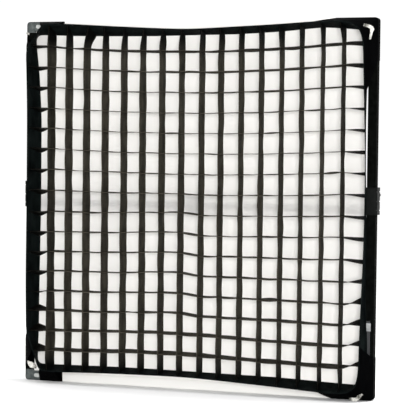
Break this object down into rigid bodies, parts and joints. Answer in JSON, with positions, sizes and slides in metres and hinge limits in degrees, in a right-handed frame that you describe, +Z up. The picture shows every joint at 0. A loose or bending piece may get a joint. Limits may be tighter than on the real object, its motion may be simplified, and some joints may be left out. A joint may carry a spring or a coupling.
{
  "type": "softbox panel",
  "caption": "Square knock-down tube frame holding a white diffuser with a black fabric egg crate in front, and a sliding crossbar with a tilting stand socket behind.",
  "frame": {"origin": "on the floor under the middle of the frame, in the mid-plane of its tubes", "axes": "+X along the width, +Y from the crate to the back, +Z up"},
  "size_m": [1.0776, 0.145, 1.07],
  "materials": {
    "tube_black": "satin black anodised",
    "elbow_slate": "dark slate powder coat",
    "bare_tube": "mill finish",
    "button_grey": "moulded grey",
    "moulded_black": "fine grain moulded",
    "steel": "zinc plated",
    "nylon_white": "plain nylon",
    "diffuser_white": "fine white diffusion cloth",
    "crate_black": "black woven nylon",
    "pocket_black": "black woven nylon",
    "webbing_black": "black webbing",
    "slider_grey": "moulded grey"
  },
  "bodies": {
    "panel": {"corner_elbow_top_left": "elbow_slate", "corner_elbow_top_right": "elbow_slate", "corner_elbow_bottom_left": "elbow_slate", "corner_elbow_bottom_right": "elbow_slate", "top_rail_left": "tube_black", "top_rail_right": "tube_black", "bottom_rail_left": "tube_black", "bottom_rail_right": "tube_black", "left_rail_upper": "tube_black", "left_rail_lower": "tube_black", "right_rail_upper": "tube_black", "right_rail_lower": "tube_black", "top_rail_joiner": "bare_tube", "bottom_rail_joiner": "bare_tube", "left_rail_joiner": "bare_tube", "right_rail_joiner": "bare_tube", "top_joiner_rivet": "steel", "bottom_joiner_rivet": "steel", "left_joiner_rivet": "steel", "right_joiner_rivet": "steel", "diffuser_sheet": "diffuser_white", "diffuser_sleeve_top": "diffuser_white", "diffuser_sleeve_bottom": "diffuser_white", "tension_strap_left": "webbing_black", "tension_strap_right": "webbing_black", "crate_slats": "crate_black", "crate_border": "crate_black", "corner_pocket_top_left": "pocket_black", "corner_pocket_top_right": "pocket_black", "corner_pocket_bottom_left": "pocket_black", "corner_pocket_bottom_right": "pocket_black"},
    "button_top_left": {"release_button_top_left": "button_grey"},
    "button_top_right": {"release_button_top_right": "button_grey"},
    "button_bottom_left": {"release_button_bottom_left": "button_grey"},
    "button_bottom_right": {"release_button_bottom_right": "button_grey"},
    "crossbar": {"crossbar_tube": "tube_black", "crossbar_collar_left": "moulded_black", "crossbar_collar_right": "moulded_black", "clamp_pad_left": "nylon_white", "clamp_pad_right": "nylon_white", "bar_end_screw_left": "steel", "bar_end_screw_right": "steel", "mount_saddle": "elbow_slate", "mount_saddle_cap": "elbow_slate", "saddle_screw_top_left": "steel", "saddle_screw_top_right": "steel", "saddle_screw_bottom_left": "steel", "saddle_screw_bottom_right": "steel", "friction_washer_left": "nylon_white", "friction_washer_right": "nylon_white", "tilt_bolt": "steel"},
    "clamp_left": {"clamp_knob_left": "moulded_black"},
    "clamp_right": {"clamp_knob_right": "moulded_black"},
    "stand_socket": {"tilt_socket": "elbow_slate"},
    "tilt_lock": {"tilt_lever": "moulded_black"},
    "socket_lock": {"socket_lock_knob": "moulded_black"},
    "slider_left": {"strap_slider_left": "slider_grey"},
    "slider_right": {"strap_slider_right": "slider_grey"}
  },
  "joints": [
    {"name": "press_button_top_left", "type": "slide", "parent": "panel", "child": "button_top_left", "axis": [0, 1, 0], "range_m": [0, 0.003], "stiffness_N_per_m": 600},
    {"name": "press_button_top_right", "type": "slide", "parent": "panel", "child": "button_top_right", "axis": [0, 1, 0], "range_m": [0, 0.003], "stiffness_N_per_m": 600},
    {"name": "press_button_bottom_left", "type": "slide", "parent": "panel", "child": "button_bottom_left", "axis": [0, 1, 0], "range_m": [0, 0.003], "stiffness_N_per_m": 600},
    {"name": "press_button_bottom_right", "type": "slide", "parent": "panel", "child": "button_bottom_right", "axis": [0, 1, 0], "range_m": [0, 0.003], "stiffness_N_per_m": 600},
    {"name": "crossbar_height", "type": "slide", "parent": "panel", "child": "crossbar", "axis": [0, 0, 1], "range_m": [-0.25, 0.34]},
    {"name": "clamp_turn_left", "type": "hinge", "parent": "crossbar", "child": "clamp_left", "pos_m": [-0.5208, 0.03, 0.57525], "axis": [0, 1, 0], "range_deg": [0, 360]},
    {"name": "clamp_turn_right", "type": "hinge", "parent": "crossbar", "child": "clamp_right", "pos_m": [0.5208, 0.03, 0.57525], "axis": [0, 1, 0], "range_deg": [0, 360]},
    {"name": "socket_tilt", "type": "hinge", "parent": "crossbar", "child": "stand_socket", "pos_m": [0, 0.0405, 0.535], "axis": [1, 0, 0], "range_deg": [0, 90]},
    {"name": "tilt_lever_turn", "type": "hinge", "parent": "crossbar", "child": "tilt_lock", "pos_m": [0.024, 0.0405, 0.535], "axis": [1, 0, 0], "range_deg": [-150, 0]},
    {"name": "socket_lock_turn", "type": "hinge", "parent": "stand_socket", "child": "socket_lock", "pos_m": [0, 0.06, 0.489], "axis": [0, 1, 0], "range_deg": [0, 360]},
    {"name": "strap_slide_left", "type": "slide", "parent": "panel", "child": "slider_left", "axis": [0, 0, 1], "range_m": [-0.06, 0]},
    {"name": "strap_slide_right", "type": "slide", "parent": "panel", "child": "slider_right", "axis": [0, 0, 1], "range_m": [-0.06, 0]}
  ]
}
